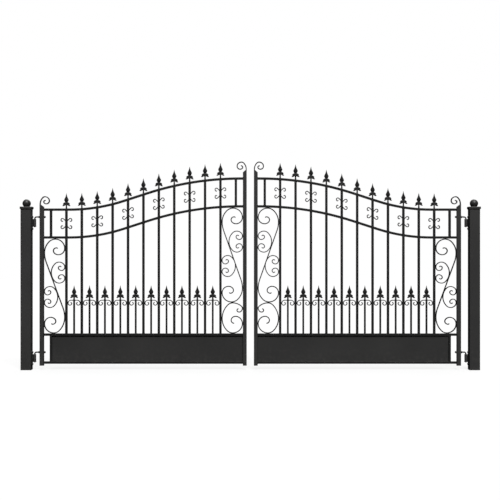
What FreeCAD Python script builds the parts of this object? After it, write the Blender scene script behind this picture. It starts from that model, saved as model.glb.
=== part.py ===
import FreeCAD, Part
import math
import os

# A pair of wrought-iron driveway gate leaves hung between two square posts.
# Frame: millimetres, +X to the right seen from the road, +Y away from the road,
# +Z up. The origin is on the ground midway between the posts, and the leaves
# and posts are all centred on the plane Y = 0.
# Everything is drawn for the left-hand leaf and post, then mirrored in X.

# Clear opening and posts
opening = 3658.0
post_side = 88.0
post_wall = 4.0
post_corner = 5.0
post_bore_corner = 1.5
post_height = 1341.0

# Post cap and ball
cap_side = 100.0
cap_flare = 5.0
cap_lip = 19.0
cap_edge_round = 4.0
cap_spigot_depth = 22.0
cap_spigot_wall = 4.0
cap_spigot_clearance = 0.5
cap_spigot_corner = 2.0
ball_diameter = 70.0
ball_centre_above_cap = 27.0

# Leaf outline
pivot_to_post = 24.0
pivot_to_leaf = 42.0
leaf_gap = 60.0
heel_stile_side = 35.0
meeting_stile_side = 32.0
stile_wall = 2.5
stile_corner = 3.0
stile_bore_corner = 1.0
stile_sharp_corner = 0.3
stile_bottom = 35.0
heel_stile_top = 1390.0
meeting_stile_top = 1680.0
stile_top_fall = 27.0
stile_top_plate = 3.0

# Rails: the two upper rails follow the same ogee, one above the other
rail_side = 20.0
bottom_rail_height = 60.0
lower_rail_height = 294.0
heel_rail_height = 1340.5
frieze_height = 233.0
ogee_rise = 260.5
ogee_run_in = 213.0
ogee_lower_radius = 1463.0
ogee_slope = 18.0
ogee_straight = 212.0

# Infill bars and panel
picket_count = 11
picket_pitch = 129.0
picket_side = 20.0
dog_bar_side = 15.0
dog_bar_top = 585.5
panel_thickness = 2.0

# Cast spear
spear_length = 121.5
spear_stem_radius = 5.4
spear_stem_length = 50.0
rail_spear_neck = 5.0
spear_leaf_thickness = 9.0

# Scroll bars
large_bar = 8.5
medium_bar = 7.5
small_bar = 7.2
large_bar_depth = 16.0
small_bar_depth = 12.0
stile_scroll_depth = 20.0
stile_scroll_root = 8.0
s_flank_radius = 220.0
s_upper_flank = 278.0
s_lower_flank = 278.0
s_lower_flank_at_heel = 262.0
c_half_height = 88.0
c_above_middle = 112.5
c_above_width = 113.0
c_below_middle = 92.0
c_below_width = 111.5
base_scroll_rise = 0.4
frieze_scroll_reach = 20.0
frieze_shoulder_radius = 14.0
frieze_arm = 25.0
crook_below_spear = 3.5

# Hook-and-barrel hinges
hook_radius = 6.0
hook_bend = 15.0
hook_upper_height = 1279.0
hook_lower_height = 147.0
hook_past_stile = 15.0
hook_hole_radius = 6.5
barrel_radius = 12.0
barrel_bore = 6.08
barrel_length = 65.0
barrel_below_hook = 17.0
barrel_foot_radius = 13.5
barrel_foot = 4.0
hook_leg_past_barrel = 4.0
plate_thickness = 5.0
plate_width = 42.0
plate_length = 124.0
plate_end_radius = 14.0
web_thickness = 10.0
bolt_radius = 5.0
bolt_head_flats = 17.0
bolt_head_height = 6.4
bolt_length = 24.0
bolt_hole_radius = 5.1
bolt_from_plate_end = 13.0
hook_nut_flats = 19.0
hook_nut_height = 10.0
nut_bore = 6.05

# How far a cutting shape runs past the piece it cuts
past = 1.0

# Places that follow from the sizes above
post_face = -opening / 2
post_x = post_face - post_side / 2
pivot_x = post_face + pivot_to_post
heel_outer = pivot_x + pivot_to_leaf
heel_inner = heel_outer + heel_stile_side
heel_stile_x = (heel_outer + heel_inner) / 2
meeting_outer = -leaf_gap / 2
meeting_inner = meeting_outer - meeting_stile_side
meeting_stile_x = (meeting_outer + meeting_inner) / 2
infill_middle = (heel_inner + meeting_inner) / 2
picket_span = (picket_count - 1) * picket_pitch
first_picket = infill_middle - picket_span / 2
last_picket = infill_middle + picket_span / 2
pickets = [first_picket + i * picket_pitch for i in range(picket_count)]
dog_bars = [x + picket_pitch / 2 for x in pickets[:-1]]
end_bar_x = first_picket - picket_pitch
scroll_bay = first_picket - picket_side / 2 - heel_inner
middle_rail_heel = heel_rail_height - frieze_height
bottom_rail_top = bottom_rail_height + rail_side / 2
lower_rail_top = lower_rail_height + rail_side / 2
lower_rail_underside = lower_rail_height - rail_side / 2
s_scroll_reach = (middle_rail_heel - rail_side / 2 - lower_rail_top) / 2

ogee_start = heel_inner + ogee_run_in
slope = math.radians(ogee_slope)
straight_rise = ogee_straight * math.sin(slope)
lower_rise = ogee_lower_radius * (1 - math.cos(slope))
ogee_upper_radius = (ogee_rise - straight_rise - lower_rise) / (1 - math.cos(slope))


# ---------------------------------------------------------------- basic shapes

def vec(x, y, z):
    return FreeCAD.Vector(x, y, z)


def block(x0, x1, y_half, z0, z1):
    return Part.makeBox(x1 - x0, 2 * y_half, z1 - z0, vec(x0, -y_half, z0))


def upright(x, side, z0, z1):
    return block(x - side / 2, x + side / 2, side / 2, z0, z1)


def level_bar(x0, x1, side, z):
    return block(x0, x1, side / 2, z - side / 2, z + side / 2)


def rounded_square(side, corner, x, z):
    """A level square outline with rounded corners, as a face."""
    half = side / 2
    edges = []
    for quarter in range(4):
        turn = math.radians(90 * quarter)
        c, s = math.cos(turn), math.sin(turn)

        def at(u, v):
            return vec(x + u * c - v * s, u * s + v * c, z)

        inner = half - corner
        bend = corner * (1 - math.sqrt(0.5))
        edges.append(Part.makeLine(at(half, -inner), at(half, inner)))
        edges.append(Part.Arc(at(half, inner), at(half - bend, half - bend), at(inner, half)).toShape())
    return Part.Face(Part.Wire(Part.__sortEdges__(edges)))


def rounded_prism(side, corner, x, z0, z1):
    return rounded_square(side, corner, x, z0).extrude(vec(0, 0, z1 - z0))


def hexagon_prism(across_flats, centre, axis, height):
    """A hexagonal head or nut with two flats plumb or level, standing on centre."""
    corner = across_flats / math.sqrt(3)
    side = vec(0, 1, 0)
    other = axis.cross(side)
    points = []
    for i in range(7):
        turn = math.radians(60 * i)
        points.append(centre + side * (corner * math.cos(turn)) + other * (corner * math.sin(turn)))
    return Part.Face(Part.makePolygon(points)).extrude(axis * height)


def cylinder(radius, height, base, axis):
    return Part.makeCylinder(radius, height, base, axis)


# ----------------------------------------------------- bars bent to an outline

def bent_bar(start, heading, moves, thickness, depth):
    """A flat bar bent in the plane Y = 0.

    start is (x, z), heading is in degrees from +X towards +Z, and each move is
    (length, 0) for a straight or (radius, turn) for an arc, left turns positive.
    """
    x, z = start
    angle = math.radians(heading)
    sides = {1: [], -1: []}

    def offset(px, pz, a, side):
        half = side * thickness / 2
        return vec(px - math.sin(a) * half, -depth / 2, pz + math.cos(a) * half)

    first = {side: offset(x, z, angle, side) for side in sides}
    for size, turn in moves:
        if turn == 0:
            nx = x + size * math.cos(angle)
            nz = z + size * math.sin(angle)
            for side in sides:
                ends = offset(x, z, angle, side), offset(nx, nz, angle, side)
                sides[side].append(Part.makeLine(*ends))
            x, z = nx, nz
            continue
        sweep = math.radians(turn)
        way = math.copysign(1, turn)
        cx = x - math.sin(angle) * size * way
        cz = z + math.cos(angle) * size * way

        def on_arc(share):
            a = angle + sweep * share
            return cx + math.sin(a) * size * way, cz - math.cos(a) * size * way, a

        for side in sides:
            a, b, c = [offset(*on_arc(share), side) for share in (0, 0.5, 1)]
            sides[side].append(Part.Arc(a, b, c).toShape())
        x, z, angle = on_arc(1)
    last = {side: offset(x, z, angle, side) for side in sides}
    edges = sides[1] + [Part.makeLine(last[1], last[-1])]
    edges += sides[-1] + [Part.makeLine(first[-1], first[1])]
    outline = Part.Wire(Part.__sortEdges__(edges))
    return Part.Face(outline).extrude(vec(0, depth, 0))


def quarter_turns(points, heading, way):
    """Moves that pass through points, turning a right angle between each two.

    Each quarter is two tangent arcs of 45 degrees, whose radii follow from how
    far the bar goes along its old heading and along its new one. way is 1 for
    left turns and -1 for right turns.
    """
    moves = []
    angle = math.radians(heading)
    for (x0, z0), (x1, z1) in zip(points, points[1:]):
        dx, dz = x1 - x0, z1 - z0
        along = dx * math.cos(angle) + dz * math.sin(angle)
        across = way * (dz * math.cos(angle) - dx * math.sin(angle))
        spread = (along - across) / (math.sqrt(2) - 1)
        moves.append(((along + across + spread) / 2, 45 * way))
        moves.append(((along + across - spread) / 2, 45 * way))
        angle += math.radians(90) * way
    return moves


def through(points, heading, way, thickness, depth, lead_in=0.0, at=(0, 0), flip=1):
    """A bent bar through points given from at; flip = -1 mirrors it in X."""
    placed = [(at[0] + flip * x, at[1] + z) for x, z in points]
    if flip < 0:
        heading, way = 180 - heading, -way
    moves = quarter_turns(placed, heading, way)
    x, z = placed[0]
    if lead_in:
        moves.insert(0, (lead_in, 0))
        x -= lead_in * math.cos(math.radians(heading))
        z -= lead_in * math.sin(math.radians(heading))
    return bent_bar((x, z), heading, moves, thickness, depth)


# ----------------------------------------------------------------- the ogee

def ogee_height(x):
    """Height of the rail curve at x, above its level run at the heel."""
    lower_end = ogee_start + ogee_lower_radius * math.sin(slope)
    straight_end = lower_end + ogee_straight * math.cos(slope)
    upper_end = straight_end + ogee_upper_radius * math.sin(slope)
    if x <= ogee_start:
        return 0.0
    if x <= lower_end:
        return ogee_lower_radius - math.sqrt(ogee_lower_radius ** 2 - (x - ogee_start) ** 2)
    if x <= straight_end:
        return lower_rise + (x - lower_end) * math.tan(slope)
    if x <= upper_end:
        return ogee_rise - ogee_upper_radius + math.sqrt(ogee_upper_radius ** 2 - (upper_end - x) ** 2)
    return ogee_rise


def ogee_rail(height_at_heel):
    curve = (ogee_lower_radius + ogee_upper_radius) * math.sin(slope) + ogee_straight * math.cos(slope)
    run_out = meeting_inner - ogee_start - curve
    moves = [
        (ogee_run_in, 0),
        (ogee_lower_radius, ogee_slope),
        (ogee_straight, 0),
        (ogee_upper_radius, -ogee_slope),
        (run_out, 0),
    ]
    return bent_bar((heel_inner, height_at_heel), 0, moves, rail_side, rail_side)


# --------------------------------------------------------------------- posts

def post():
    shell = rounded_prism(post_side, post_corner, post_x, 0, post_height)
    bore = rounded_prism(post_side - 2 * post_wall, post_bore_corner, post_x, 0, post_height)
    shell = shell.cut(bore)
    for hook in (hook_upper_height, hook_lower_height):
        for z in bolt_heights(hook):
            base = vec(post_face - 2 * post_wall, 0, z)
            shell = shell.cut(cylinder(bolt_hole_radius, 3 * post_wall, base, vec(1, 0, 0)))
    return shell


def post_cap():
    bottom = rounded_square(post_side, post_corner, post_x, post_height)
    lip_foot = rounded_square(cap_side, cap_edge_round, post_x, post_height + cap_flare)
    flare = Part.makeLoft([bottom.OuterWire, lip_foot.OuterWire], True, True)
    lip = lip_foot.extrude(vec(0, 0, cap_lip))
    spigot_foot = post_height - cap_spigot_depth
    spigot_side = post_side - 2 * (post_wall + cap_spigot_clearance)
    hollow_side = spigot_side - 2 * cap_spigot_wall
    spigot = rounded_prism(spigot_side, cap_spigot_corner, post_x, spigot_foot, post_height)
    inside = rounded_prism(hollow_side, cap_spigot_corner / 2, post_x, spigot_foot, post_height)
    return flare.fuse([lip, spigot.cut(inside)]).removeSplitter()


def post_ball():
    cap_top = post_height + cap_flare + cap_lip
    ball = Part.makeSphere(ball_diameter / 2, vec(post_x, 0, cap_top + ball_centre_above_cap))
    below = block(post_x - ball_diameter, post_x + ball_diameter, ball_diameter, 0, cap_top)
    return ball.cut(below)


# -------------------------------------------------------------------- hinges

def bolt_heights(hook_height):
    """Heights of the two bolts of the bracket under a hook."""
    middle = hook_height - barrel_below_hook - barrel_length / 2
    reach = plate_length / 2 - bolt_from_plate_end
    return middle + reach, middle - reach


def bracket(hook_height):
    """Plate, web and barrel, forged in one piece, bolted to the post."""
    top = hook_height - barrel_below_hook
    middle = top - barrel_length / 2
    half_w, half_l, r = plate_width / 2, plate_length / 2, plate_end_radius
    outline = []
    corners = [(1, 1), (-1, 1), (-1, -1), (1, -1)]
    bend = r * (1 - math.sqrt(0.5))
    for i, (sy, sz) in enumerate(corners):
        on_side = (sy * half_w, sz * (half_l - r))
        on_end = (sy * (half_w - r), sz * half_l)
        knee = (sy * (half_w - bend), sz * (half_l - bend))
        ends = (on_side, on_end) if i % 2 == 0 else (on_end, on_side)
        outline.append((ends[0], knee, ends[1]))
    edges = []
    for i, (a, b, c) in enumerate(outline):
        points = [vec(post_face, y, middle + z) for y, z in (a, b, c)]
        following = outline[(i + 1) % 4][0]
        edges.append(Part.Arc(*points).toShape())
        edges.append(Part.makeLine(points[2], vec(post_face, following[0], middle + following[1])))
    plate = Part.Face(Part.Wire(Part.__sortEdges__(edges))).extrude(vec(plate_thickness, 0, 0))
    web = block(post_face, pivot_x, web_thickness / 2, middle - barrel_length / 2, top)
    barrel = cylinder(barrel_radius, barrel_length, vec(pivot_x, 0, top - barrel_length), vec(0, 0, 1))
    foot = cylinder(barrel_foot_radius, barrel_foot, vec(pivot_x, 0, top - barrel_length), vec(0, 0, 1))
    body = plate.fuse([web, barrel, foot]).removeSplitter()
    below = vec(pivot_x, 0, top - barrel_length - past)
    body = body.cut(cylinder(barrel_bore, barrel_length + 2 * past, below, vec(0, 0, 1)))
    for z in bolt_heights(hook_height):
        hole = cylinder(bolt_hole_radius, plate_thickness, vec(post_face, 0, z), vec(1, 0, 0))
        body = body.cut(hole)
    return body


def post_bolts():
    bolts = []
    for hook in (hook_upper_height, hook_lower_height):
        for z in bolt_heights(hook):
            seat = vec(post_face + plate_thickness, 0, z)
            head = hexagon_prism(bolt_head_flats, seat, vec(1, 0, 0), bolt_head_height)
            shank = cylinder(bolt_radius, bolt_length, vec(seat.x - bolt_length, 0, z), vec(1, 0, 0))
            bolts.append(head.fuse(shank).removeSplitter())
    return bolts


def hook(height):
    """Round bar: a leg in the barrel, an elbow, and a threaded shank through the stile."""
    leg_foot = height - barrel_below_hook - barrel_length - hook_leg_past_barrel
    leg_top = height - hook_bend
    shank_start = pivot_x + hook_bend
    shank_end = heel_inner + hook_past_stile
    leg = cylinder(hook_radius, leg_top - leg_foot, vec(pivot_x, 0, leg_foot), vec(0, 0, 1))
    ring = Part.Wire(Part.makeCircle(hook_radius, vec(pivot_x, 0, leg_top), vec(0, 0, 1)))
    elbow = Part.Face(ring).revolve(vec(shank_start, 0, leg_top), vec(0, 1, 0), 90)
    shank = cylinder(hook_radius, shank_end - shank_start, vec(shank_start, 0, height), vec(1, 0, 0))
    return leg.fuse([elbow, shank])


def hook_nuts():
    nuts = []
    for height in (hook_upper_height, hook_lower_height):
        for x in (heel_outer - hook_nut_height, heel_inner):
            nut = hexagon_prism(hook_nut_flats, vec(x, 0, height), vec(1, 0, 0), hook_nut_height)
            nuts.append(nut.cut(cylinder(nut_bore, hook_nut_height, vec(x, 0, height), vec(1, 0, 0))))
    return nuts


# ------------------------------------------------------------------- stiles

def over_slant(x, side, top, fall_way):
    """The space over a stile's slanted top, which is high on one side and falls by stile_top_fall."""
    steep = stile_top_fall / side
    high, low = x - fall_way * 1.5 * side, x + fall_way * 1.5 * side
    points = [
        vec(high, -side, top + side * steep),
        vec(low, -side, top - stile_top_fall - side * steep),
        vec(low, -side, top + 3 * side),
        vec(high, -side, top + 3 * side),
    ]
    return Part.Face(Part.makePolygon(points + points[:1])).extrude(vec(0, 2 * side, 0))


def slanted_bar(x, side, corner, top, fall_way):
    """A solid upright with the stile's slanted top."""
    return rounded_prism(side, corner, x, stile_bottom, top).cut(over_slant(x, side, top, fall_way))


def stile(x, side, top, fall_way, holes):
    """A square tube closed by a slanted top that falls towards the infill."""
    bore_side = side - 2 * stile_wall
    bore = rounded_prism(bore_side, stile_bore_corner, x, stile_bottom, top)
    bore = bore.cut(over_slant(x, side, top - stile_top_plate, fall_way))
    tube = slanted_bar(x, side, stile_corner, top, fall_way).cut(bore)
    for z in holes:
        start = vec(x - side / 2 - past, 0, z)
        tube = tube.cut(cylinder(hook_hole_radius, side + 2 * past, start, vec(1, 0, 0)))
    return tube


def stile_scroll(x, side, top, fall_way):
    """The bar that grows from a stile's high edge and curls over the infill."""
    curl = [(0, 0), (39.5, 58.5), (76, 24.5), (50.5, -1), (29, 17), (44.5, 28)]
    start = (x - fall_way * (side - large_bar) / 2, top)
    bar = through(curl, 90, -1, large_bar, stile_scroll_depth, stile_scroll_root, start, fall_way)
    return bar.cut(slanted_bar(x, side, stile_sharp_corner, top, fall_way))


# ------------------------------------------------------------------- infill

def spear():
    """A cast spear: four-sided blade, two drooping leaves and a short stem, base at Z = 0."""
    rings = [(44.0, 6.0, 5.0), (65.5, 18.0, 9.0), (80.0, 13.8, 8.0), (92.0, 8.8, 6.2), (104.0, 4.2, 3.6)]
    tip = vec(0, 0, spear_length)
    levels = [[vec(w, 0, z), vec(0, t, z), vec(-w, 0, z), vec(0, -t, z)] for z, w, t in rings]
    faces = [Part.Face(Part.makePolygon(levels[0] + levels[0][:1]))]
    for low, high in zip(levels, levels[1:]):
        for i in range(4):
            j = (i + 1) % 4
            faces.append(Part.Face(Part.makePolygon([low[i], low[j], high[i], low[i]])))
            faces.append(Part.Face(Part.makePolygon([low[j], high[j], high[i], low[j]])))
    for i in range(4):
        corner, following = levels[-1][i], levels[-1][(i + 1) % 4]
        faces.append(Part.Face(Part.makePolygon([corner, following, tip, corner])))
    blade = Part.Solid(Part.Shell(faces))
    if blade.Volume < 0:
        blade.reverse()
    stem = cylinder(spear_stem_radius, spear_stem_length, vec(0, 0, 0), vec(0, 0, 1))
    leaves = []
    for way in (1, -1):
        def at(u, z):
            return vec(way * u, -spear_leaf_thickness / 2, z)

        edges = [
            Part.makeLine(at(0, 47), at(12, 47)),
            Part.Arc(at(12, 47), at(20.5, 44), at(25, 37)).toShape(),
            Part.makeLine(at(25, 37), at(33, 23.5)),
            Part.Arc(at(33, 23.5), at(32.5, 18), at(27.5, 17.5)).toShape(),
            Part.Arc(at(27.5, 17.5), at(20, 24), at(10, 27)).toShape(),
            Part.makeLine(at(10, 27), at(0, 27)),
            Part.makeLine(at(0, 27), at(0, 47)),
        ]
        face = Part.Face(Part.Wire(Part.__sortEdges__(edges)))
        leaves.append(face.extrude(vec(0, spear_leaf_thickness, 0)))
    return stem.fuse([blade] + leaves).removeSplitter()


def spear_at(x, base):
    shape = spear()
    shape.translate(vec(x, 0, base))
    return shape


def top_spears(top_rail):
    spears = []
    for x in pickets:
        centre = heel_rail_height + ogee_height(x)
        base = centre + rail_side / 2 + rail_spear_neck
        shape = spear_at(x, base)
        foot = cylinder(spear_stem_radius, base - centre + past, vec(x, 0, centre), vec(0, 0, 1))
        spears.append(shape.fuse(foot).removeSplitter().cut(top_rail))
    return spears


def long_pickets(middle_rail):
    bars = []
    for x in pickets:
        bar = upright(x, picket_side, lower_rail_top, middle_rail_heel + ogee_height(x))
        bars.append(bar.cut(middle_rail))
    return bars


def frieze_bars(middle_rail, top_rail):
    bars = []
    for x in [end_bar_x] + pickets + [last_picket + picket_pitch]:
        low = middle_rail_heel + ogee_height(x)
        bars.append(upright(x, picket_side, low, low + frieze_height).cut(middle_rail).cut(top_rail))
    return bars


# ------------------------------------------------------------------- scrolls

def s_scroll(x, z, lower_flank):
    """A tall S between two uprights: two volutes joined by a straight diagonal.

    A flank is how far above or below the middle the bar runs plumb against an upright.
    """
    half_width = (scroll_bay - large_bar) / 2
    half_height = s_scroll_reach - large_bar / 2

    def volute(flank):
        curl = [(24, 313), (17, 320), (-10, 296), (31, 262)]
        return curl + [(half_width, 315.5), (7, half_height), (-half_width, flank)]

    half_fall = (s_upper_flank + lower_flank) / 2
    centre_x = s_flank_radius - half_width
    reach = math.hypot(centre_x, half_fall)
    lean = math.degrees(math.asin(s_flank_radius / reach) - math.atan(centre_x / half_fall))
    diagonal = 2 * math.sqrt(reach ** 2 - s_flank_radius ** 2)
    upper = quarter_turns(volute(s_upper_flank), 90, 1) + [(s_flank_radius, lean)]
    lower = quarter_turns(volute(lower_flank), 90, 1) + [(s_flank_radius, lean)]
    moves = upper + [(diagonal, 0)] + [(size, -turn) for size, turn in reversed(lower)]
    start_x, start_z = volute(s_upper_flank)[0]
    return bent_bar((x + start_x, z + start_z), 90, moves, large_bar, large_bar_depth)


def c_scroll(face_x, z, flip, width):
    """A C whose two curls touch the upright at face_x, opening towards it (flip 1 is to the right)."""
    upper = [(-32, 46.5), (-39.5, 54), (-53.5, 40.2), (-26, 17.6), (0, 47), (-47, c_half_height)]
    lower = [(u, -v) for u, v in reversed(upper)]
    points = upper + [(-width, 0)] + lower
    at = (face_x - flip * medium_bar / 2, z)
    return through(points, 90, 1, medium_bar, large_bar_depth, at=at, flip=flip)


def halved(crossing, through_bar):
    """Fits two bars together by halving: where they cross, the first keeps its near half."""
    room = through_bar.BoundBox
    far_side = block(room.XMin, room.XMax, large_bar_depth, room.ZMin, room.ZMax)
    far_side.translate(vec(0, large_bar_depth, 0))
    near_part = crossing.cut(far_side)
    far_part = through_bar.common(far_side)
    return crossing.cut(far_part), through_bar.cut(near_part)


def s_with_cs(x, z, lower_flank, left_face, right_face):
    """An S and the two Cs beside it, one above its middle on the right and one below on the left."""
    above = c_scroll(right_face, z + c_above_middle, 1, c_above_width)
    below = c_scroll(left_face, z - c_below_middle, -1, c_below_width)
    s_bar = s_scroll(x, z, lower_flank)
    above, s_bar = halved(above, s_bar)
    below, s_bar = halved(below, s_bar)
    return s_bar, [above, below]


def base_scroll(z_low, z_high):
    """The large C at the foot of the meeting stile: a big volute below, a small curl above."""
    x = meeting_inner - large_bar / 2
    middle = (z_low + z_high) / 2
    reach = (z_high - z_low - large_bar) / 2
    across = scroll_bay - large_bar
    small_curl = [(-32.5, 76), (-45.5, 63), (-27, 49), (0, 82)]
    body = [(-81, reach), (-across, -6), (-81, -reach)]
    volute = [(0, -48), (-57.6, 13), (-94, -20), (-69, -45)]
    return through(small_curl + body + volute, 180, 1, large_bar, large_bar_depth, at=(x, middle))


def frieze_curl(x, z, flip, bar):
    """A curl on one side of a frieze bar, whose straight arm is welded to the bar's side."""
    points = [(x + flip * u, z + v) for u, v in [(31, 23), (36, 18), (45, 30.5), (33.5, 43)]]
    moves = quarter_turns(points, 270, flip)
    moves += [(frieze_shoulder_radius, 45 * flip), (frieze_arm, 0)]
    return bent_bar(points[0], 270, moves, small_bar, small_bar_depth).cut(bar)


def frieze_scrolls():
    """Four curls round every other frieze bar; each pair is set at the frieze's middle height."""
    curls = []
    for x in pickets[::2]:
        low = middle_rail_heel + ogee_height(x)
        bar = upright(x, picket_side, low, low + frieze_height)
        for flip in (1, -1):
            z = middle_rail_heel + frieze_height / 2 + ogee_height(x + flip * frieze_scroll_reach)
            upper = frieze_curl(x, z, flip, bar)
            curls += [upper, upper.mirror(vec(x, 0, z), vec(0, 0, 1))]
    return curls


def dog_bar_scrolls():
    """Two small crooks on each dog bar, curling down against the pickets beside it."""
    room = (picket_pitch - picket_side - dog_bar_side) / 2
    arch = dog_bar_top - crook_below_spear
    crook = [(28, 0), (small_bar / 2, -25.5), (18.8, -41.5), (34, -27.3), (24.8, -18)]
    scrolls = []
    for x in dog_bars:
        for flip in (1, -1):
            at = (x - flip * (dog_bar_side / 2 + room), arch)
            lead = room - crook[0][0]
            scrolls.append(through(crook, 180, 1, small_bar, small_bar_depth, lead_in=lead, at=at, flip=flip))
    return scrolls


# ------------------------------------------------------------------ the leaf

def leaf():
    """Every piece of the left-hand leaf, by name."""
    top_rail = ogee_rail(heel_rail_height)
    middle_rail = ogee_rail(middle_rail_heel)
    hook_heights = (hook_upper_height, hook_lower_height)
    heel_stile = stile(heel_stile_x, heel_stile_side, heel_stile_top, 1, hook_heights)
    meeting_stile = stile(meeting_stile_x, meeting_stile_side, meeting_stile_top, -1, ())
    panel_left = end_bar_x + picket_side / 2
    heel_s_x = heel_inner + scroll_bay / 2
    heel_s_z = lower_rail_top + s_scroll_reach
    meeting_s_x = meeting_inner - scroll_bay / 2
    meeting_s_z = middle_rail_heel + ogee_height(meeting_s_x) - rail_side / 2 - s_scroll_reach
    heel_s, heel_cs = s_with_cs(heel_s_x, heel_s_z, s_lower_flank_at_heel, heel_inner,
                                first_picket - picket_side / 2)
    meeting_s, meeting_cs = s_with_cs(meeting_s_x, meeting_s_z, s_lower_flank,
                                      last_picket + picket_side / 2, meeting_inner)
    base_top = meeting_s_z - s_scroll_reach + base_scroll_rise
    return {
        "heel_stile": heel_stile,
        "meeting_stile": meeting_stile,
        "top_rail": top_rail,
        "middle_rail": middle_rail,
        "lower_rail": level_bar(heel_inner, meeting_inner, rail_side, lower_rail_height),
        "bottom_rail": level_bar(heel_inner, meeting_inner, rail_side, bottom_rail_height),
        "panel_end_bar": upright(end_bar_x, picket_side, bottom_rail_top, lower_rail_underside),
        "kick_panel": block(panel_left, meeting_inner, panel_thickness / 2, bottom_rail_top,
                            lower_rail_underside),
        "pickets": long_pickets(middle_rail),
        "frieze_bars": frieze_bars(middle_rail, top_rail),
        "dog_bars": [upright(x, dog_bar_side, lower_rail_top, dog_bar_top) for x in dog_bars],
        "rail_spears": top_spears(top_rail),
        "dog_bar_spears": [spear_at(x, dog_bar_top) for x in dog_bars],
        "heel_s_scroll": heel_s,
        "meeting_s_scroll": meeting_s,
        "c_scrolls": heel_cs + meeting_cs,
        "base_scroll": base_scroll(lower_rail_top, base_top),
        "frieze_scrolls": frieze_scrolls(),
        "dog_bar_scrolls": dog_bar_scrolls(),
        "heel_stile_scroll": stile_scroll(heel_stile_x, heel_stile_side, heel_stile_top, 1),
        "meeting_stile_scroll": stile_scroll(meeting_stile_x, meeting_stile_side, meeting_stile_top, -1),
        "upper_hook": hook(hook_upper_height),
        "lower_hook": hook(hook_lower_height),
        "hook_nuts": hook_nuts(),
    }


def post_pieces():
    return {
        "post": post(),
        "post_cap": post_cap(),
        "post_ball": post_ball(),
        "upper_bracket": bracket(hook_upper_height),
        "lower_bracket": bracket(hook_lower_height),
    }


# ------------------------------------------------------------------- export

def as_list(shape):
    return shape if isinstance(shape, list) else [shape]


def mirrored(solids):
    return [solid.mirror(vec(0, 0, 0), vec(1, 0, 0)) for solid in solids]


def export(name, solids):
    found = []
    for solid in solids:
        found += solid.Solids
    shape = found[0] if len(found) == 1 else Part.makeCompound(found)
    bad = [s for s in found if not s.isValid() or s.Volume <= 0]
    volume = sum(solid.Volume for solid in found) / 1000
    print(name, len(found), "solids", round(volume, 1), "cm3", "BAD" if bad else "")
    shape.exportStep("parts/" + name + ".step")


def main():
    os.makedirs("parts", exist_ok=True)
    pieces = dict(post_pieces())
    pieces.update(leaf())
    for name, shape in pieces.items():
        export("left_" + name, as_list(shape))
        export("right_" + name, mirrored(as_list(shape)))
    bolts = post_bolts()
    export("bracket_bolts", bolts + mirrored(bolts))


main()
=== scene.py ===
import math
import random

import bmesh
import bpy
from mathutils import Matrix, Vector


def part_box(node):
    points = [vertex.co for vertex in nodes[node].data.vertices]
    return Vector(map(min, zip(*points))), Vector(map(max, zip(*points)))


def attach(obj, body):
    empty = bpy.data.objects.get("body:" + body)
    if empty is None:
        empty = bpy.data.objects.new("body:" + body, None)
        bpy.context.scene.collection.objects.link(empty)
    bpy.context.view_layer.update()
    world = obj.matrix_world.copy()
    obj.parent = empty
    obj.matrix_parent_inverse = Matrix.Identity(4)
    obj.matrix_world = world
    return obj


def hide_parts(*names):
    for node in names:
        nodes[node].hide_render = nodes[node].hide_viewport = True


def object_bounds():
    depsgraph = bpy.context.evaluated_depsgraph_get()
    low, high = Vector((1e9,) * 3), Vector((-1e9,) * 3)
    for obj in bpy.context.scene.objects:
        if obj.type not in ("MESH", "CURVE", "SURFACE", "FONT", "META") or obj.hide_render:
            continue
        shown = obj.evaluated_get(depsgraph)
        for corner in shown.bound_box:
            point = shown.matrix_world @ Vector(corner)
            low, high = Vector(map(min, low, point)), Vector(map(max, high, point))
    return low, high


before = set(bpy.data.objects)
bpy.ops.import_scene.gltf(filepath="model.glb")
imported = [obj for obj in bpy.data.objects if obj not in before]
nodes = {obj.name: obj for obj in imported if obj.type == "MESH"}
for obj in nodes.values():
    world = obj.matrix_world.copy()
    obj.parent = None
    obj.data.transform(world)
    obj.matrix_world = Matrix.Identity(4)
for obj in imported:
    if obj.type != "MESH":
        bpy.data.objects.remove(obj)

cad_low, cad_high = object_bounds()
SIDES = ("left", "right")
mm = 0.001


# ------------------------------------------------------------------ shading

class Wire:
    """One output of a shader node. Arithmetic on it adds Math nodes."""

    def __init__(self, finish, socket):
        self.finish = finish
        self.socket = socket

    def math(self, operation, other):
        return self.finish.node("ShaderNodeMath", {"operation": operation}, [self, other])

    def __add__(self, other):
        return self.math("ADD", other)

    def __sub__(self, other):
        return self.math("SUBTRACT", other)

    def __rsub__(self, other):
        return self.finish.node("ShaderNodeMath", {"operation": "SUBTRACT"}, [other, self])

    def __mul__(self, other):
        return self.math("MULTIPLY", other)

    __radd__ = __add__
    __rmul__ = __mul__

    def held(self, low, high):
        """This value kept between low and high."""
        return self.math("MAXIMUM", low).math("MINIMUM", high)

    def steps(self, low, high):
        """0 below low, 1 above high, and smooth between them."""
        settings = {"interpolation_type": "SMOOTHSTEP"}
        sockets = {"Value": self, "From Min": low, "From Max": high}
        return self.finish.node("ShaderNodeMapRange", settings, sockets)


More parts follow.
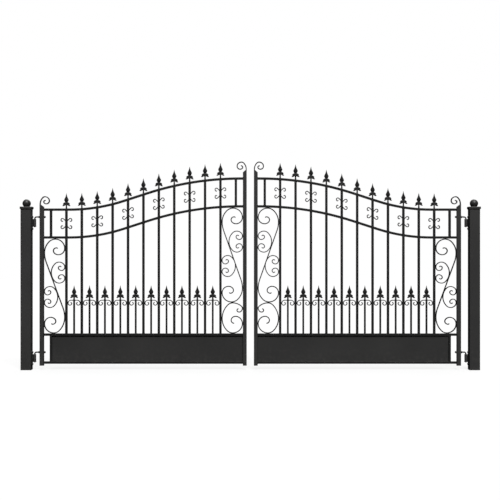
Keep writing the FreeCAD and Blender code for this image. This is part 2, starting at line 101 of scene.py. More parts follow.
class Finish:
    """A painted or bare metal surface, built up node by node."""

    def __init__(self, name):
        self.material = bpy.data.materials.new(name)
        self.material.use_nodes = True
        self.tree = self.material.node_tree
        self.shader = self.tree.nodes["Principled BSDF"]
        self.place = self.node("ShaderNodeTexCoord", {}, {}, "Object")

    def node(self, kind, settings, sockets, output=0):
        """Adds a node, sets it up, joins its inputs, and returns one of its outputs."""
        made = self.tree.nodes.new(kind)
        for name, value in settings.items():
            setattr(made, name, value)
        named = enumerate(sockets) if isinstance(sockets, list) else sockets.items()
        for name, value in named:
            self.join(made.inputs[name], value)
        return Wire(self, made.outputs[output])

    def join(self, socket, value):
        if isinstance(value, Wire):
            self.tree.links.new(value.socket, socket)
        else:
            socket.default_value = value

    def noise(self, size, detail=3.0, roughness=0.5, place=None):
        """Soft mottling whose patches are about size metres across."""
        sockets = {
            "Vector": place or self.place,
            "Scale": 1 / size,
            "Detail": detail,
            "Roughness": roughness,
        }
        return self.node("ShaderNodeTexNoise", {}, sockets, "Fac")

    def cells(self, size):
        """Distance within cells about size metres across."""
        sockets = {"Vector": self.place, "Scale": 1 / size}
        return self.node("ShaderNodeTexVoronoi", {"feature": "F1"}, sockets, "Distance")

    def stretched(self, x, y, z):
        """The object's coordinates, scaled along each axis."""
        return self.node("ShaderNodeVectorMath", {"operation": "MULTIPLY"}, [self.place, (x, y, z)])

    def facing_up(self):
        """1 on level upper faces and 0 on upright and lower ones."""
        normal = self.node("ShaderNodeNewGeometry", {}, {}, "Normal")
        return self.node("ShaderNodeSeparateXYZ", {}, {"Vector": normal}, "Z").held(0, 1)

    def height(self):
        return self.node("ShaderNodeSeparateXYZ", {}, {"Vector": self.place}, "Z")

    def mix(self, share, first, second):
        """A colour between first and second."""
        settings = {"data_type": "RGBA", "blend_type": "MIX"}
        return self.node("ShaderNodeMix", settings, {0: share, 6: first, 7: second}, 2)

    def bump(self, height, distance):
        return self.node("ShaderNodeBump", {}, {"Height": height, "Distance": distance})

    def set(self, sockets):
        """Sets or joins the shader's own inputs, and returns the material."""
        for name, value in sockets.items():
            self.join(self.shader.inputs[name], value)
        return self.material


def grey(value, warmth=0.0):
    return (value * (1 + warmth), value, value * (1 - warmth), 1)


DUST = grey(0.16, 0.10)
DUST_COVER = 0.10
SPLASH_COVER = 0.06
SPLASH_HEIGHT = 0.28
PAINT_SPECULAR = 0.25


def painted(name, skin, skin_depth, roughness, tone):
    """Satin black paint over metal. skin gives the height of the surface under the paint."""
    finish = Finish(name)
    broad = finish.noise(0.35, detail=4)
    fine = finish.noise(0.012, detail=3)
    base = finish.mix(broad, grey(tone * 0.82), grey(tone * 1.2, 0.02))
    settled = finish.facing_up() * finish.noise(0.02, detail=5).steps(0.3, 0.75) * DUST_COVER
    low_down = 1 - finish.height().steps(0.0, SPLASH_HEIGHT)
    splash = low_down * finish.noise(0.03, detail=5).steps(0.42, 0.8) * SPLASH_COVER
    dirt = (settled + splash).held(0, 1)
    return finish.set({
        "Base Color": finish.mix(dirt, base, DUST),
        "Roughness": roughness + (broad - 0.5) * 0.10 + (fine - 0.5) * 0.12 + dirt * 0.25,
        "Normal": finish.bump(skin(finish), skin_depth),
        "Specular IOR Level": PAINT_SPECULAR,
    })


def orange_peel(finish):
    return finish.noise(0.0035, detail=1.5)


def rolled_bar(finish):
    drawn = finish.noise(0.006, detail=3, place=finish.stretched(1.0, 1.0, 0.12))
    return drawn * 0.7 + finish.noise(0.0018, detail=2) * 0.3


def hammered(finish):
    return finish.cells(0.011).steps(0.0, 0.9) * 0.7 + finish.noise(0.0025, detail=2) * 0.3


def sand_cast(finish):
    return finish.noise(0.0022, detail=4, roughness=0.65) * 0.6 + finish.noise(0.012) * 0.4


def sheet_skin(finish):
    return finish.noise(0.22, detail=1) * 0.8 + finish.noise(0.004, detail=1.5) * 0.2


post_paint = painted("post_paint", orange_peel, 0.07 * mm, 0.46, 0.0215)
bar_paint = painted("bar_paint", rolled_bar, 0.09 * mm, 0.48, 0.0065)
scroll_paint = painted("scroll_paint", hammered, 0.20 * mm, 0.48, 0.0060)
cast_paint = painted("cast_paint", sand_cast, 0.20 * mm, 0.55, 0.0075)
cap_paint = painted("cap_paint", sand_cast, 0.12 * mm, 0.5, 0.0230)
ball_paint = painted("ball_paint", sand_cast, 0.08 * mm, 0.40, 0.0150)
panel_paint = painted("panel_paint", sheet_skin, 0.6 * mm, 0.46, 0.0190)
weld_paint = painted("weld_paint", sand_cast, 0.05 * mm, 0.44, 0.0085)
hinge_paint = painted("hinge_paint", hammered, 0.12 * mm, 0.5, 0.0095)


# ----------------------------------------------------------------- CAD nodes

SAME_POINT = 0.005 * mm
EDGE_SEGMENTS = 2
EDGE_ANGLE = math.radians(40)


def soften(piece, width):
    """Rounds a CAD node's sharp edges without touching its mesh."""
    weld = piece.modifiers.new("join", "WELD")
    weld.merge_threshold = SAME_POINT
    bevel = piece.modifiers.new("edges", "BEVEL")
    bevel.width = width
    bevel.segments = EDGE_SEGMENTS
    bevel.limit_method = "ANGLE"
    bevel.angle_limit = EDGE_ANGLE
    bevel.use_clamp_overlap = True
    bevel.harden_normals = True


def finish_node(name, material, edge=None):
    piece = nodes[name]
    for place in piece.material_slots:
        place.material = material
    if edge:
        soften(piece, edge)


NODE_FINISHES = {
    "post": (post_paint, None),
    "post_cap": (cast_paint, None),
    "post_ball": (ball_paint, None),
    "upper_bracket": (hinge_paint, 0.8 * mm),
    "lower_bracket": (hinge_paint, 0.8 * mm),
    "heel_stile": (post_paint, 0.5 * mm),
    "meeting_stile": (post_paint, 0.5 * mm),
    "top_rail": (bar_paint, 0.9 * mm),
    "middle_rail": (bar_paint, 0.9 * mm),
    "lower_rail": (bar_paint, 0.9 * mm),
    "bottom_rail": (bar_paint, 0.9 * mm),
    "panel_end_bar": (bar_paint, 0.9 * mm),
    "kick_panel": (panel_paint, 0.3 * mm),
    "pickets": (bar_paint, 0.9 * mm),
    "frieze_bars": (bar_paint, 0.9 * mm),
    "dog_bars": (bar_paint, 0.8 * mm),
    "rail_spears": (cast_paint, None),
    "dog_bar_spears": (cast_paint, None),
    "heel_s_scroll": (scroll_paint, 0.8 * mm),
    "meeting_s_scroll": (scroll_paint, 0.8 * mm),
    "c_scrolls": (scroll_paint, 0.8 * mm),
    "base_scroll": (scroll_paint, 0.8 * mm),
    "frieze_scrolls": (scroll_paint, 0.7 * mm),
    "dog_bar_scrolls": (scroll_paint, 0.7 * mm),
    "heel_stile_scroll": (scroll_paint, 0.8 * mm),
    "meeting_stile_scroll": (scroll_paint, 0.8 * mm),
    "upper_hook": (hinge_paint, None),
    "lower_hook": (hinge_paint, None),
    "hook_nuts": (hinge_paint, None),
}
for side in SIDES:
    for node, (material, edge) in NODE_FINISHES.items():
        finish_node(side + "_" + node, material, edge)
finish_node("bracket_bolts", hinge_paint)


# ----------------------------------------------------------------- mesh tools

class Skin:
    """A mesh made of closed shells, each joined up ring by ring."""

    def __init__(self):
        self.mesh = bmesh.new()

    def shell(self, rings):
        """Joins equal closed rings of points, one after another, and caps both ends."""
        rows = [[self.mesh.verts.new(point) for point in ring] for ring in rings]
        count = len(rows[0])
        for low, high in zip(rows, rows[1:]):
            for i in range(count):
                j = (i + 1) % count
                self.mesh.faces.new((low[i], low[j], high[j], high[i]))
        self.mesh.faces.new(rows[0])
        self.mesh.faces.new(rows[-1])

    def turned(self, profile, centre, axis, across, segments):
        """A round shell: profile gives (distance along axis, radius) from centre."""
        other = axis.cross(across)
        rings = []
        for along, radius in profile:
            middle = centre + axis * along
            rings.append([
                middle + (across * math.cos(a) + other * math.sin(a)) * radius
                for a in round_angles(segments)
            ])
        self.shell(rings)


UP, RIGHT, AWAY = Vector((0, 0, 1)), Vector((1, 0, 0)), Vector((0, 1, 0))
QUARTER_TURN = math.radians(90)


def round_angles(count):
    """Equal steps round a full turn, starting at 0."""
    return [2 * math.pi * k / count for k in range(count)]


def add_piece(name, skin, material, body, replaced=(), smooth_below=35):
    """Finishes a mesh and puts it on its body; faces meeting at a smaller angle look smooth."""
    bmesh.ops.recalc_face_normals(skin.mesh, faces=skin.mesh.faces)
    for face in skin.mesh.faces:
        face.smooth = True
    mesh = bpy.data.meshes.new(name)
    skin.mesh.to_mesh(mesh)
    skin.mesh.free()
    mesh.set_sharp_from_angle(angle=math.radians(smooth_below))
    mesh.materials.append(material)
    piece = bpy.data.objects.new(name, mesh)
    bpy.context.scene.collection.objects.link(piece)
    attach(piece, body)
    if replaced:
        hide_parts(*replaced)


def separate_solids(name):
    """The corner points of each separate solid in a CAD node, from left to right."""
    whole = bmesh.new()
    whole.from_mesh(nodes[name].data)
    bmesh.ops.remove_doubles(whole, verts=whole.verts, dist=SAME_POINT)
    waiting = set(whole.verts)
    found = []
    while waiting:
        reached = [waiting.pop()]
        for vert in reached:
            for edge in vert.link_edges:
                other = edge.other_vert(vert)
                if other in waiting:
                    waiting.remove(other)
                    reached.append(other)
        found.append([vert.co.copy() for vert in reached])
    whole.free()
    return sorted(found, key=lambda points: (min(p.x for p in points), min(p.z for p in points)))


def span(points, axis):
    values = [point[axis] for point in points]
    return min(values), max(values)


def middle_of(points):
    return Vector([sum(span(points, axis)) / 2 for axis in range(3)])


def extent(name):
    low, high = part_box(name)
    return high - low


# --------------------------------------------------------------- cast spears

SPEAR_LENGTH = extent("left_dog_bar_spears").z
BLADE = [
    # (below the tip, half width, half depth) in mm
    (0.0, 0.5, 0.5), (4.0, 1.4, 1.1), (10.0, 2.6, 1.9), (17.5, 4.2, 3.0), (24.0, 6.1, 4.0),
    (30.0, 8.2, 4.9), (36.0, 10.8, 5.8), (42.0, 13.8, 6.7), (48.0, 16.8, 7.5), (52.5, 18.4, 7.9),
    (56.0, 18.9, 8.0), (59.0, 18.4, 7.9), (62.5, 16.9, 7.5), (66.5, 14.8, 6.9), (71.0, 12.8, 6.3),
    (75.5, 11.2, 6.0), (79.0, 10.2, 5.8), (84.0, 9.4, 5.4),
]
UPPER_LEAF = [
    # (from the middle, above the foot, half thickness, half depth) in mm
    (0.0, 37.6, 9.2, 5.4), (5.0, 38.0, 9.2, 5.9), (10.0, 37.8, 9.2, 6.3), (14.5, 36.8, 9.0, 6.4),
    (18.4, 35.2, 8.4, 6.2), (21.4, 33.2, 7.3, 5.7), (23.8, 31.0, 5.8, 4.9), (25.4, 29.0, 4.2, 3.7),
    (26.4, 27.6, 2.6, 2.4), (26.9, 26.8, 1.2, 1.2),
]
LOWER_LEAF = [
    # (from the middle, above the foot, half thickness, half depth) in mm
    (0.0, 28.6, 5.6, 4.6), (5.0, 28.4, 5.9, 5.0), (10.0, 27.2, 6.1, 5.3), (14.5, 25.0, 6.3, 5.5),
    (18.5, 22.6, 6.3, 5.4), (22.5, 20.6, 6.0, 5.1), (26.2, 19.0, 5.4, 4.5), (29.4, 17.9, 4.4, 3.7),
    (31.8, 17.2, 3.1, 2.8), (33.2, 16.9, 1.5, 1.5),
]
STEM = [
    # (above the foot, radius) in mm
    (-11.0, 7.4), (-4.6, 7.4), (-3.6, 7.1), (-3.0, 6.5), (1.0, 6.5), (1.6, 7.2), (3.2, 7.4), (4.6, 7.1),
    (5.4, 6.2), (12.0, 6.0), (17.0, 6.0),
    (18.4, 6.9), (20.0, 7.3), (21.6, 6.9), (23.0, 6.2), (40.0, 5.6),
]
SOCKET = [
    # (above the foot, radius) in mm
    (-1.0, 7.3), (0.4, 7.9), (2.4, 8.2), (4.4, 7.9), (5.6, 7.2), (12.0, 6.9), (17.0, 6.8),
    (18.4, 7.4), (20.0, 7.7), (21.6, 7.4), (23.0, 6.8), (40.0, 6.0),
]
BLADE_HOLLOW = 0.13
BLADE_STEPS = 5
LEAF_GROOVE = 0.22
GROOVE_STARTS = 0.8
LEAF_SEGMENTS = 16
STEM_SEGMENTS = 20


def blade_ring(centre, half_width, half_depth):
    """A four-sided section with hollowed faces, sharp at its sides and ridged front and back."""
    ring = []
    for k in range(4 * BLADE_STEPS):
        quarter, step = divmod(k, BLADE_STEPS)
        share = step / BLADE_STEPS
        pull = 1 - BLADE_HOLLOW * math.sin(math.pi * share)
        u, v = (1 - share) * pull, share * pull
        for _ in range(quarter):
            u, v = -v, u
        ring.append(centre + RIGHT * (u * half_width) + AWAY * (v * half_depth))
    return ring


def leaf_rings(foot, way, leaf):
    """One leaf, running out from the middle, with a groove along its front and back."""
    rings = []
    for k, (out, up, half_thick, half_depth) in enumerate(leaf):
        before, after = leaf[max(k - 1, 0)], leaf[min(k + 1, len(leaf) - 1)]
        along = Vector((way * (after[0] - before[0]), 0, after[1] - before[1])).normalized()
        across = AWAY.cross(along)
        centre = foot + Vector((way * out, 0, up)) * mm
        ring = []
        for a in round_angles(LEAF_SEGMENTS):
            sunk = max(0, abs(math.sin(a)) - GROOVE_STARTS) / (1 - GROOVE_STARTS)
            thick = math.cos(a) * half_thick
            deep = math.sin(a) * half_depth * (1 - LEAF_GROOVE * sunk)
            ring.append(centre + (across * thick + AWAY * deep) * mm)
        rings.append(ring)
    return rings


def add_spear(skin, tip, stem):
    """One casting: a hollow-faced blade over two pairs of drooping leaves on a collared stem."""
    foot = tip - UP * SPEAR_LENGTH
    skin.shell([
        blade_ring(tip - UP * (down * mm), width * mm, depth * mm)
        for down, width, depth in BLADE
    ])
    for way in (1, -1):
        skin.shell(leaf_rings(foot, way, UPPER_LEAF))
        skin.shell(leaf_rings(foot, way, LOWER_LEAF))
    skin.turned([(up * mm, radius * mm) for up, radius in stem], foot, UP, RIGHT, STEM_SEGMENTS)


def spears(side):
    for node, name, stem in (
        ("rail_spears", "top_spear_castings", STEM),
        ("dog_bar_spears", "low_spear_castings", SOCKET),
    ):
        skin = Skin()
        for points in separate_solids(side + "_" + node):
            middle = middle_of(points)
            add_spear(skin, Vector((middle.x, middle.y, span(points, 2)[1])), stem)
        replaced = [side + "_" + node]
        add_piece(side + "_" + name, skin, cast_paint, side + "_leaf", replaced)


# -------------------------------------------------------- post caps and balls

CAP_PROFILE = [
    # (above the post, out from the post's face) in mm
    (-0.2, -0.4), (0.0, 0.3), (0.9, 0.45), (1.8, 0.8), (2.9, 1.5), (3.9, 2.6), (4.6, 3.9), (5.0, 5.0),
    (5.4, 5.7), (6.2, 6.0), (21.6, 6.0), (22.7, 5.7), (23.5, 5.0), (24.0, 3.6), (24.0, 0.0),
    (23.6, -3.0), (23.6, -20.0),
]
CAP_CORNER = 4.5 * mm
CAP_CORNER_POINTS = 7
BALL_FOOT = [
    # (above the ball's underside, radius) in mm
    (-0.4, 26.5), (0.6, 26.3), (1.6, 24.8),
]
BALL_STARTS = 2.4 * mm
BALL_TOP_RADIUS = 0.05 * mm
BALL_SEAM = 0.25 * mm
SEAM_SPREAD = 0.02
BALL_RINGS = 40
BALL_SEGMENTS = 64


def square_ring(centre, half, corner):
    """A level square ring with rounded corners."""
    ring = []
    for quarter in range(4):
        for step in range(CAP_CORNER_POINTS):
            a = QUARTER_TURN * (quarter + step / (CAP_CORNER_POINTS - 1))
            sign_x = 1 if quarter in (0, 3) else -1
            sign_y = 1 if quarter in (0, 1) else -1
            x = sign_x * (half - corner) + corner * math.cos(a)
            y = sign_y * (half - corner) + corner * math.sin(a)
            ring.append(centre + Vector((x, y, 0)))
    return ring


def cap(side):
    low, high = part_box(side + "_post")
    top = Vector(((low.x + high.x) / 2, (low.y + high.y) / 2, high.z))
    half = (high.x - low.x) / 2
    skin = Skin()
    skin.shell([
        square_ring(top + UP * (up * mm), half + out * mm, CAP_CORNER)
        for up, out in CAP_PROFILE
    ])
    add_piece(side + "_cap_casting", skin, cap_paint, "posts", [side + "_post_cap"])


def ball(side):
    """A cast ball on a small round foot, with a faint seam round its middle."""
    low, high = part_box(side + "_post_ball")
    radius = (high.x - low.x) / 2
    centre = Vector(((low.x + high.x) / 2, (low.y + high.y) / 2, high.z - radius))
    underside = low.z - centre.z
    profile = [(underside + up * mm, wide * mm) for up, wide in BALL_FOOT]
    start = math.asin((underside + BALL_STARTS) / radius)
    for k in range(BALL_RINGS + 1):
        lift = start + (QUARTER_TURN - start) * k / BALL_RINGS
        seam = BALL_SEAM * math.exp(-(lift / SEAM_SPREAD) ** 2)
        wide = max(math.cos(lift) * (radius + seam), BALL_TOP_RADIUS)
        profile.append((math.sin(lift) * radius, wide))
    skin = Skin()
    skin.turned(profile, centre, UP, RIGHT, BALL_SEGMENTS)
    add_piece(side + "_ball_casting", skin, ball_paint, "posts", [side + "_post_ball"])


# ------------------------------------------------------------ hooks and bolts

THREAD_PITCH = 1.75 * mm
THREAD_DEPTH = 0.9 * mm
THREAD_RUN_IN = 5 * mm
RINGS_PER_TURN = 6
SHANK_CHAMFER = 1.2 * mm
CHAMFER_SLOPE = 0.8
HOOK_BEND = 15.0 * mm
BEND_STEPS = 14
LEG_END_SHARE = 0.86
LEG_END_ROUND = 1.2 * mm
LEG_BELOW_BEND = 1 * mm
HOOK_SEGMENTS = 28
HEX_SEGMENTS = 48
HEX_ROUNDED_SHARE = 0.22
HEX_ROUND_STEPS = (0.0, 0.25, 0.6, 1.0)
HEX_CORNER_TAKEN = 1.15
DOME_SHARES = (0.9, 0.75, 0.5, 0.2)
DOME_REACH = 0.95
HEAD_HEIGHT = 6.0 * mm
HEAD_DOME = 0.4 * mm
WASHER = [
    # (out from the plate, radius) in mm
    (-0.3, 10.6), (1.0, 10.6), (1.5, 10.1), (1.5, 6.0),
]
WASHER_SEGMENTS = 40
PLATE_THICKNESS = 5.0 * mm


def hex_shell(skin, centre, axis, across_flats, height, rounded_below=True, dome=0.0):
    """A hexagonal nut or head from centre along axis, with its corners turned off at the ends."""
    flat = across_flats / 2
    corner = flat / math.cos(math.radians(30))
    other = axis.cross(AWAY)
    levels = []
    for t in HEX_ROUND_STEPS:
        taken = (corner - flat) * (1 - t) ** 1.5
        levels.append((height * HEX_ROUNDED_SHARE * t, taken if rounded_below else 0.0))
    for t in HEX_ROUND_STEPS[::-1]:
        taken = (corner - flat) * (1 - t) ** 1.5
        levels.append((height - height * HEX_ROUNDED_SHARE * t, taken))
    rings = []
    for along, taken in levels:
        ring = []
        for a in round_angles(HEX_SEGMENTS):
            to_flat = flat / math.cos((a % math.radians(60)) - math.radians(30))
            reach = min(to_flat, corner - taken * HEX_CORNER_TAKEN)
            ring.append(centre + axis * along + (AWAY * math.cos(a) + other * math.sin(a)) * reach)
        rings.append(ring)
    if dome:
        for share in DOME_SHARES:
            middle = centre + axis * (height + dome * (1 - share ** 2))
            reach = flat * DOME_REACH * share
            rings.append([
                middle + (AWAY * math.cos(a) + other * math.sin(a)) * reach
                for a in round_angles(HEX_SEGMENTS)
            ])
    skin.shell(rings)


def hook_ring(middle, along, reaches):
    """A ring round the hook's bar, with one reach for each of its points."""
    across = along.cross(AWAY)
    return [
        middle + (AWAY * math.cos(a) + across * math.sin(a)) * reach
        for a, reach in zip(round_angles(HOOK_SEGMENTS), reaches)
    ]


def threaded_hook(side, node):
    """A round bar: leg, elbow and a shank whose thread shows on both sides of the stile."""
    low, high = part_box(side + "_" + node)
    way = 1 if side == "left" else -1
    radius = (high.y - low.y) / 2
    pivot = low.x + radius if side == "left" else high.x - radius
    end = high.x if side == "left" else low.x
    height = high.z - radius
    leg = Vector((pivot, 0, low.z))
    bend_centre = Vector((pivot + way * HOOK_BEND, 0, height - HOOK_BEND))
    plain = [radius] * HOOK_SEGMENTS
    rings = [
        hook_ring(leg, UP, [radius * LEG_END_SHARE] * HOOK_SEGMENTS),
        hook_ring(leg + UP * LEG_END_ROUND, UP, plain),
        hook_ring(Vector((pivot, 0, bend_centre.z - LEG_BELOW_BEND)), UP, plain),
    ]
    for k in range(BEND_STEPS + 1):
        a = QUARTER_TURN * k / BEND_STEPS
        middle = bend_centre + Vector((-way * math.cos(a), 0, math.sin(a))) * HOOK_BEND
        rings.append(hook_ring(middle, Vector((way * math.sin(a), 0, math.cos(a))), plain))
    along = Vector((way, 0, 0))
    start = Vector((bend_centre.x, 0, height))
    length = abs(end - start.x)
    steps = int(length / THREAD_PITCH * RINGS_PER_TURN)
    for k in range(1, steps + 1):
        run = length * k / steps
        depth = THREAD_DEPTH * min(1.0, run / THREAD_RUN_IN)
        turned_off = max(0, SHANK_CHAMFER - (length - run)) * CHAMFER_SLOPE
        reaches = []
        for a in round_angles(HOOK_SEGMENTS):
            groove = abs(((run / THREAD_PITCH - a / (2 * math.pi)) % 1) * 2 - 1)
            reaches.append(radius - depth * groove - turned_off)
        rings.append(hook_ring(start + along * run, along, reaches))
    skin = Skin()
    skin.shell(rings)
    replaced = [side + "_" + node]
    add_piece(side + "_" + node + "_bar", skin, hinge_paint, side + "_leaf", replaced)


def flats(points):
    """The distance across a hexagon's flats, from the narrower of its depth and height."""
    return min(high - low for low, high in (span(points, 1), span(points, 2)))


def nuts(side):
    skin = Skin()
    for points in separate_solids(side + "_hook_nuts"):
        middle = middle_of(points)
        low, high = span(points, 0)
        hex_shell(skin, Vector((low, middle.y, middle.z)), RIGHT, flats(points), high - low)
    replaced = [side + "_hook_nuts"]
    add_piece(side + "_shank_nuts", skin, hinge_paint, side + "_leaf", replaced)


def bolt_heads():
    """A washer and a domed hexagonal head on each bracket's back plate."""
    skin = Skin()
    for points in separate_solids("bracket_bolts"):
        middle = middle_of(points)
        if middle.x < 0:
            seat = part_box("left_upper_bracket")[0].x + PLATE_THICKNESS
            axis = RIGHT
        else:
            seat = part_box("right_upper_bracket")[1].x - PLATE_THICKNESS
            axis = -RIGHT
        centre = Vector((seat, middle.y, middle.z))
        washer = [(out * mm, radius * mm) for out, radius in WASHER]
        skin.turned(washer, centre, axis, AWAY, WASHER_SEGMENTS)
        hex_shell(skin, centre, axis, flats(points), HEAD_HEIGHT, rounded_below=False, dome=HEAD_DOME)
    add_piece("bracket_bolt_heads", skin, hinge_paint, "posts", ["bracket_bolts"])


# --------------------------------------------------------------- weld beads

BEAD_RADIUS = 2.1 * mm
SMALL_BEAD_RADIUS = 1.5 * mm
BEAD_STEP = 1.9 * mm
BEAD_POINTS = 7
BEAD_END_SHARE = 0.35
BEAD_END_SLOPE = 5
BEAD_RIPPLE = 0.10
BEAD_CHANCE = 0.08
BEAD_REACH = 0.94
TOUCH = 0.06 * mm
TOUCH_SPREAD = 30 * mm
TOUCH_BEAD_OFFSET = 9 * mm
TACK_LENGTH = 26 * mm
TACK_SPACING = 170 * mm
RAILS = ("top_rail", "middle_rail", "lower_rail", "bottom_rail")
LARGE_SCROLLS = ("heel_s_scroll", "meeting_s_scroll", "c_scrolls", "base_scroll")
WELDED_NODES = RAILS + LARGE_SCROLLS + (
    "heel_stile", "meeting_stile", "pickets", "frieze_bars", "panel_end_bar", "dog_bars",
    "frieze_scrolls", "dog_bar_scrolls",
)


def weld_bead(skin, start, end, radius, chance):
    """A lumpy run of weld from start to end, thinner where it begins and stops."""
    along = (end - start).normalized()
    length = (end - start).length
    across = along.orthogonal().normalized()
    other = along.cross(across)
    steps = max(6, int(length / BEAD_STEP))
    rings = []
    for k in range(steps + 1):
        share = k / steps
        swell = min(1.0, BEAD_END_SHARE + BEAD_END_SLOPE * min(share, 1 - share))
        ripple = 1 + BEAD_RIPPLE * (k % 2) + chance.uniform(-BEAD_CHANCE, BEAD_CHANCE)
        middle = start + along * (length * share)
        reach = radius * swell * ripple
        rings.append([
            middle + (across * math.cos(a) + other * math.sin(a)) * reach
            for a in round_angles(BEAD_POINTS)
        ])
    skin.shell(rings)


def across_depth(skin, x, z, half_depth, radius, chance):
    """A bead along Y, in the corner of two bars that meet at x, z."""
    reach = half_depth * BEAD_REACH
    weld_bead(skin, Vector((x, -reach, z)), Vector((x, reach, z)), radius, chance)


def bar_ends(skin, points, radius, chance, top=True):
    """Beads on both sides of an upright's foot, and of its head if top."""
    half = span(points, 1)[1]
    for x in span(points, 0):
        heights = [point.z for point in points if abs(point.x - x) < TOUCH]
        across_depth(skin, x, min(heights), half, radius, chance)
        if top:
            across_depth(skin, x, max(heights), half, radius, chance)


def ledge_beads(skin, points, chance):
    """Beads along the front and back of an upright's foot, where the rail is deeper than the bar."""
    foot = span(points, 2)[0]
    left, right = span(points, 0)
    for y in span(points, 1):
        weld_bead(skin, Vector((left, y, foot)), Vector((right, y, foot)), SMALL_BEAD_RADIUS, chance)


def rail_ends(skin, points, chance):
    """A bead round each end of a rail, where it meets a stile."""
    for x in span(points, 0):
        end = [point for point in points if abs(point.x - x) < TOUCH]
        low, high = span(end, 2)
        front, back = span(end, 1)
        for z in (low, high):
            across_depth(skin, x, z, back, BEAD_RADIUS, chance)
        for y in (front, back):
            weld_bead(skin, Vector((x, y, low)), Vector((x, y, high)), BEAD_RADIUS, chance)


def groups(values, gap):
    """Sorted values, split wherever two neighbours are further apart than gap."""
    found = []
    for value in sorted(values):
        if found and value - found[-1][-1] < gap:
            found[-1].append(value)
        else:
            found.append([value])
    return found


def touching_beads(skin, points, faces, chance):
    """Beads above and below each place where a scroll's curve touches an upright's face."""
    half = span(points, 1)[1]
    for face in faces:
        heights = [point.z for point in points if abs(point.x - face) < TOUCH]
        for group in groups(heights, TOUCH_SPREAD):
            middle = sum(group) / len(group)
            for z in (middle - TOUCH_BEAD_OFFSET, middle + TOUCH_BEAD_OFFSET):
                across_depth(skin, face, z, half, SMALL_BEAD_RADIUS, chance)


def butt_beads(skin, points, face, chance):
    """Beads above and below the cut end of a scroll that is welded to a bar's side."""
    half = span(points, 1)[1]
    heights = [point.z for point in points if abs(point.x - face) < TOUCH]
    if heights:
        for z in (min(heights), max(heights)):
            across_depth(skin, face, z, half, SMALL_BEAD_RADIUS, chance)


def panel_tacks(skin, side, chance):
    """Short welds along the back of the panel, top and bottom."""
    low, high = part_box(side + "_kick_panel")
    count = int((high.x - low.x) / TACK_SPACING)
    for z in (low.z, high.z):
        for k in range(count):
            middle = low.x + (high.x - low.x) * (k + 0.5) / count
            ends = [Vector((middle + way * TACK_LENGTH / 2, high.y, z)) for way in (-1, 1)]
            weld_bead(skin, *ends, BEAD_RADIUS, chance)


def leaf_welds(side):
    chance = random.Random(side)
    skin = Skin()
    solids = {}
    for node in WELDED_NODES:
        solids[node] = separate_solids(side + "_" + node)
    for points in solids["pickets"] + solids["frieze_bars"] + solids["panel_end_bar"]:
        bar_ends(skin, points, BEAD_RADIUS, chance)
    for points in solids["dog_bars"]:
        bar_ends(skin, points, BEAD_RADIUS, chance, top=False)
        ledge_beads(skin, points, chance)
    for rail in RAILS:
        rail_ends(skin, solids[rail][0], chance)
    faces = sorted(x for points in solids["pickets"] + solids["heel_stile"] + solids["meeting_stile"]
                   for x in span(points, 0))
    for scroll in LARGE_SCROLLS:
        for points in solids[scroll]:
            low, high = span(points, 0)
            touched = [x for x in faces if abs(x - low) < TOUCH or abs(x - high) < TOUCH]
            touching_beads(skin, points, touched, chance)
    for scrolls, bars in (("frieze_scrolls", "frieze_bars"), ("dog_bar_scrolls", "dog_bars")):
        for points in solids[scrolls]:
            for bar in solids[bars]:
                for face in span(bar, 0):
                    butt_beads(skin, points, face, chance)
    panel_tacks(skin, side, chance)
    body = side + "_leaf"
    add_piece(side + "_weld_beads", skin, weld_paint, body, smooth_below=60)


for side in SIDES:
    spears(side)
    leaf_welds(side)
    cap(side)
    ball(side)
    threaded_hook(side, "upper_hook")
    threaded_hook(side, "lower_hook")
    nuts(side)
bolt_heads()


# ------------------------------------------------------------------- setting

FLOOR_SIZE = 60.0
FLOOR_GLOW = 0.80


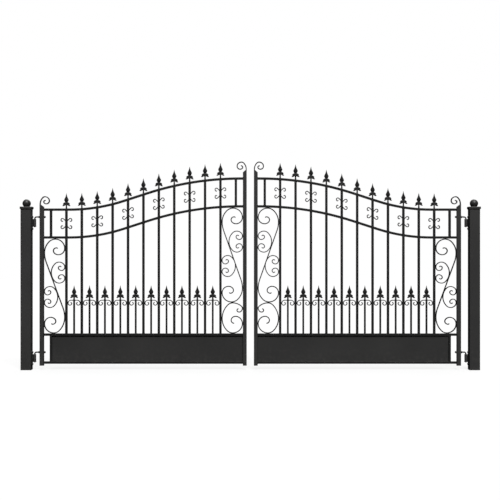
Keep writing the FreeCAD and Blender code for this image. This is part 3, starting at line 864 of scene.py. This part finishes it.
def studio_floor():
    """A wide pale floor that glows evenly and lends no light to the gate."""
    mesh = bpy.data.meshes.new("studio_floor")
    half = FLOOR_SIZE / 2
    corners = [(-half, -half, 0), (half, -half, 0), (half, half, 0), (-half, half, 0)]
    mesh.from_pydata(corners, [], [(0, 1, 2, 3)])
    floor = bpy.data.objects.new("studio_floor", mesh)
    bpy.context.scene.collection.objects.link(floor)
    finish = Finish("studio_floor")
    mottle = finish.noise(0.8, detail=2)
    mesh.materials.append(finish.set({
        "Base Color": finish.mix(mottle, grey(0.095), grey(0.105)),
        "Roughness": mottle * 0.05 + 0.9,
        "Specular IOR Level": 0.0,
        "Emission Color": grey(1.0),
        "Emission Strength": FLOOR_GLOW,
    }))
    floor.visible_diffuse = False
    floor.visible_glossy = False


def studio_sun(name, azimuth, elevation, strength, spread):
    """A very wide, soft light, in degrees. Azimuth 0 shines from the road, 90 from the right."""
    lamp = bpy.data.lights.new(name, "SUN")
    lamp.energy = strength
    lamp.angle = math.radians(spread)
    holder = bpy.data.objects.new(name, lamp)
    bpy.context.scene.collection.objects.link(holder)
    a, e = math.radians(azimuth), math.radians(elevation)
    towards = Vector((math.sin(a) * math.cos(e), -math.cos(a) * math.cos(e), math.sin(e)))
    holder.rotation_euler = towards.to_track_quat("Z", "Y").to_euler()


def white_surround():
    """A white background that only the camera sees."""
    world = bpy.data.worlds.new("white_surround")
    world.use_nodes = True
    background = world.node_tree.nodes["Background"]
    background.inputs["Color"].default_value = (1, 1, 1, 1)
    background.inputs["Strength"].default_value = 1.0
    world.cycles_visibility.diffuse = False
    world.cycles_visibility.glossy = False
    bpy.context.scene.world = world


studio_floor()
white_surround()
studio_sun("key_light", 12, 48, 5.2, 26)
studio_sun("fill_light", -62, 25, 0.25, 60)
studio_sun("overhead_light", 0, 87, 2.0, 60)
studio_sun("back_light", 165, 38, 1.6, 50)


# -------------------------------------------------------------------- camera

CAMERA_DISTANCE = 9.8875
CAMERA_HEIGHT = 1.0025
CAMERA_LEFT = 2.5 * mm


def camera():
    """Looks square at the gate from the road."""
    lens = bpy.data.cameras.new("camera")
    lens.lens = 85.0
    lens.sensor_width = 36.0
    holder = bpy.data.objects.new("camera", lens)
    bpy.context.scene.collection.objects.link(holder)
    middle = (cad_low.x + cad_high.x) / 2
    holder.location = (middle - CAMERA_LEFT, -CAMERA_DISTANCE, CAMERA_HEIGHT)
    holder.rotation_euler = (math.radians(90), 0, 0)
    bpy.context.scene.camera = holder


camera()
bpy.context.scene.view_settings.view_transform = "Standard"
